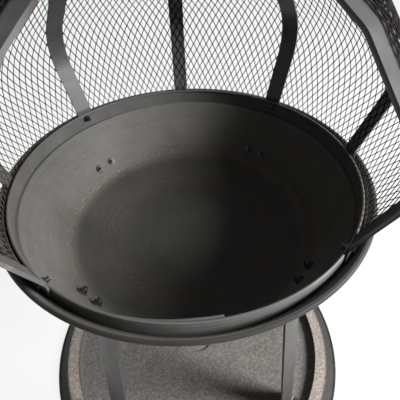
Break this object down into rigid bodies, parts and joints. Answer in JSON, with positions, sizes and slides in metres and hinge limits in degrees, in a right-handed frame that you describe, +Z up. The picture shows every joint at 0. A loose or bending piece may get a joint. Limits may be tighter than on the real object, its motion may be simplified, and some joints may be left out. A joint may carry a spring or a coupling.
{
  "type": "fire pit with spark screen",
  "caption": "Round steel fire bowl on flat legs over a base tray, with a lift-off globe of straps and expanded metal, hinged door, latch, cap and lifting bail.",
  "frame": {"origin": "on the floor at the middle of the base tray's pressed foot, on the bowl's centre line", "axes": "+Z up, -Y toward the door opening, +X to the right of someone facing the opening"},
  "size_m": [0.8065, 0.9698, 0.9035],
  "materials": {
    "bowl_bronze": "rubbed bronze paint over brushed steel",
    "frame_black": "satin heat paint",
    "mesh_black": "satin heat paint",
    "tray_grey": "speckled bronze-grey paint",
    "hardware": "blackened zinc",
    "worn_strip": "copper-toned paint, worn"
  },
  "bodies": {
    "base": {"base_tray": "tray_grey", "bowl": "bowl_bronze", "leg_back_right": "frame_black", "leg_back_left": "frame_black", "leg_front_left": "frame_black", "leg_front_right": "frame_black", "leg_bolts": "hardware", "leg_washers": "hardware", "leg_nuts": "hardware", "foot_bolts": "hardware", "foot_nuts": "hardware"},
    "screen": {"collar": "frame_black", "top_hoop": "frame_black", "strap_back_right": "frame_black", "strap_back_left": "frame_black", "jamb_left": "frame_black", "jamb_right": "frame_black", "strap_right": "frame_black", "strap_back": "frame_black", "strap_left": "frame_black", "cap": "frame_black", "cap_lugs": "frame_black", "jamb_ears": "frame_black", "latch_keeper": "frame_black", "strip_left": "worn_strip", "strip_right": "worn_strip", "mesh_right": "mesh_black", "mesh_back": "mesh_black", "mesh_left": "mesh_black", "collar_bolts": "hardware", "collar_nuts": "hardware", "hoop_bolts": "hardware", "hoop_nuts": "hardware", "hoop_spacers": "hardware", "cap_bolts": "hardware", "cap_nuts": "hardware", "hinge_pins": "hardware"},
    "door": {"door_stile_left": "frame_black", "door_stile_right": "frame_black", "door_rail_low": "frame_black", "door_rail_high": "frame_black", "door_mesh": "mesh_black", "door_strap": "frame_black", "door_ears": "frame_black", "latch_stud": "frame_black", "door_handle": "frame_black"},
    "latch": {"latch_lever": "frame_black"},
    "bail": {"bail": "frame_black"}
  },
  "joints": [
    {"name": "screen_lift", "type": "slide", "parent": "base", "child": "screen", "axis": [0, 0, 1], "range_m": [0, 0.3]},
    {"name": "door_swing", "type": "hinge", "parent": "screen", "child": "door", "pos_m": [-0.23031, -0.21192, 0.682], "axis": [0, 0, 1], "range_deg": [-25, 115]},
    {"name": "latch_turn", "type": "hinge", "parent": "door", "child": "latch", "pos_m": [-0.40618, -0.59912, 0.74], "axis": [0.9397, 0.342, 0], "range_deg": [0, 90]},
    {"name": "bail_swing", "type": "hinge", "parent": "screen", "child": "bail", "pos_m": [0, 0, 0.896], "axis": [1, 0, 0], "range_deg": [0, 180]}
  ]
}
